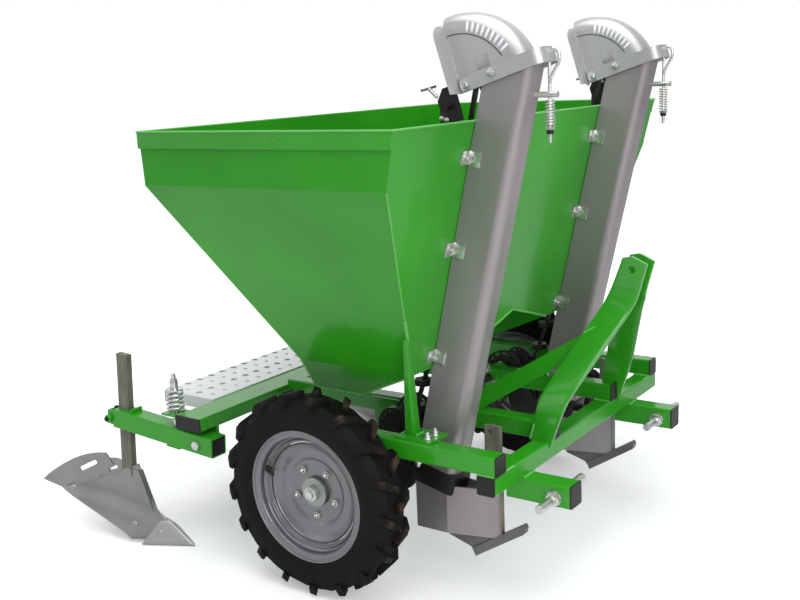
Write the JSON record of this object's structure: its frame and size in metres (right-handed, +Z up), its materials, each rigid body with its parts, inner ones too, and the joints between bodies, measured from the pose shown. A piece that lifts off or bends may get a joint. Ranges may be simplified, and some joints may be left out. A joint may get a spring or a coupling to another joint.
{
  "type": "potato planter",
  "caption": "Mounted potato planter with a folded-sheet hopper, cup elevators in leaning tubes, furrow openers, ground wheels and sprung ridgers.",
  "frame": {"origin": "on the floor under the middle of the whole machine's outline", "axes": "+X forward to the tractor, +Y to the machine's left, +Z up"},
  "size_m": [1.7688, 1.488, 1.496],
  "materials": {
    "green_paint": "gloss green enamel",
    "silver_paint": "satin silver-grey paint",
    "zinc": "bright zinc plating",
    "black_plastic": "matt black",
    "tyre_rubber": "matt black rubber",
    "rim_paint": "silver lacquer",
    "dark_steel": "dark satin",
    "bare_steel": "bare rolled bar",
    "plough_paint": "satin grey lacquer"
  },
  "bodies": {
    "frame": {"axle_hangers": "green_paint", "crossbar": "green_paint", "cup_chains": "dark_steel", "drive_chains": "dark_steel", "frame_caps": "black_plastic", "head_yokes": "silver_paint", "hitch_pins": "zinc", "hopper": "green_paint", "hopper_struts": "green_paint", "inner_beams": "green_paint", "knockers": "black_plastic", "lay_shaft": "dark_steel", "lower_hitch_brackets": "green_paint", "mast_braces": "green_paint", "mast_legs": "green_paint", "opener_boots": "silver_paint", "opener_shanks": "bare_steel", "opener_shares": "dark_steel", "outer_beams": "green_paint", "pivot_bolts": "zinc", "planting_tubes": "silver_paint", "rear_toolbar": "green_paint", "shaft_bearings": "green_paint", "shank_clamps": "green_paint", "step_plate": "silver_paint", "tension_pegs": "zinc", "tension_rods": "zinc", "tension_springs": "zinc", "tube_clips": "zinc", "tube_heads": "silver_paint"},
    "wheel_right": {"tyre_right": "tyre_rubber", "rim_right": "rim_paint", "wheel_hub_right": "zinc"},
    "ridger_right": {"ridger_arm_right": "green_paint", "ridger_shank_right": "bare_steel", "ridger_body_right": "plough_paint", "ridger_share_right": "plough_paint", "ridger_wing_plates_right": "plough_paint", "ridger_spring_bolt_right": "zinc", "ridger_spring_right": "zinc"},
    "wheel_left": {"tyre_left": "tyre_rubber", "rim_left": "rim_paint", "wheel_hub_left": "zinc"},
    "ridger_left": {"ridger_arm_left": "green_paint", "ridger_shank_left": "bare_steel", "ridger_body_left": "plough_paint", "ridger_share_left": "plough_paint", "ridger_wing_plates_left": "plough_paint", "ridger_spring_bolt_left": "zinc", "ridger_spring_left": "zinc"}
  },
  "joints": [
    {"name": "wheel_right_spin", "type": "hinge", "parent": "frame", "child": "wheel_right", "pos_m": [0.18, -0.583, 0.28], "axis": [0, 1, 0], "continuous": true},
    {"name": "wheel_left_spin", "type": "hinge", "parent": "frame", "child": "wheel_left", "pos_m": [0.18, 0.583, 0.28], "axis": [0, 1, 0], "continuous": true},
    {"name": "ridger_right_float", "type": "hinge", "parent": "frame", "child": "ridger_right", "pos_m": [-0.239, -0.57, 0.344], "axis": [0, -1, 0], "range_deg": [0, 6], "stiffness_Nm_per_rad": 300, "springref_deg": -11.46, "deforming": ["ridger_spring_right"]},
    {"name": "ridger_left_float", "type": "hinge", "parent": "frame", "child": "ridger_left", "pos_m": [-0.239, 0.57, 0.344], "axis": [0, -1, 0], "range_deg": [0, 6], "stiffness_Nm_per_rad": 300, "springref_deg": -11.46, "deforming": ["ridger_spring_left"]}
  ]
}
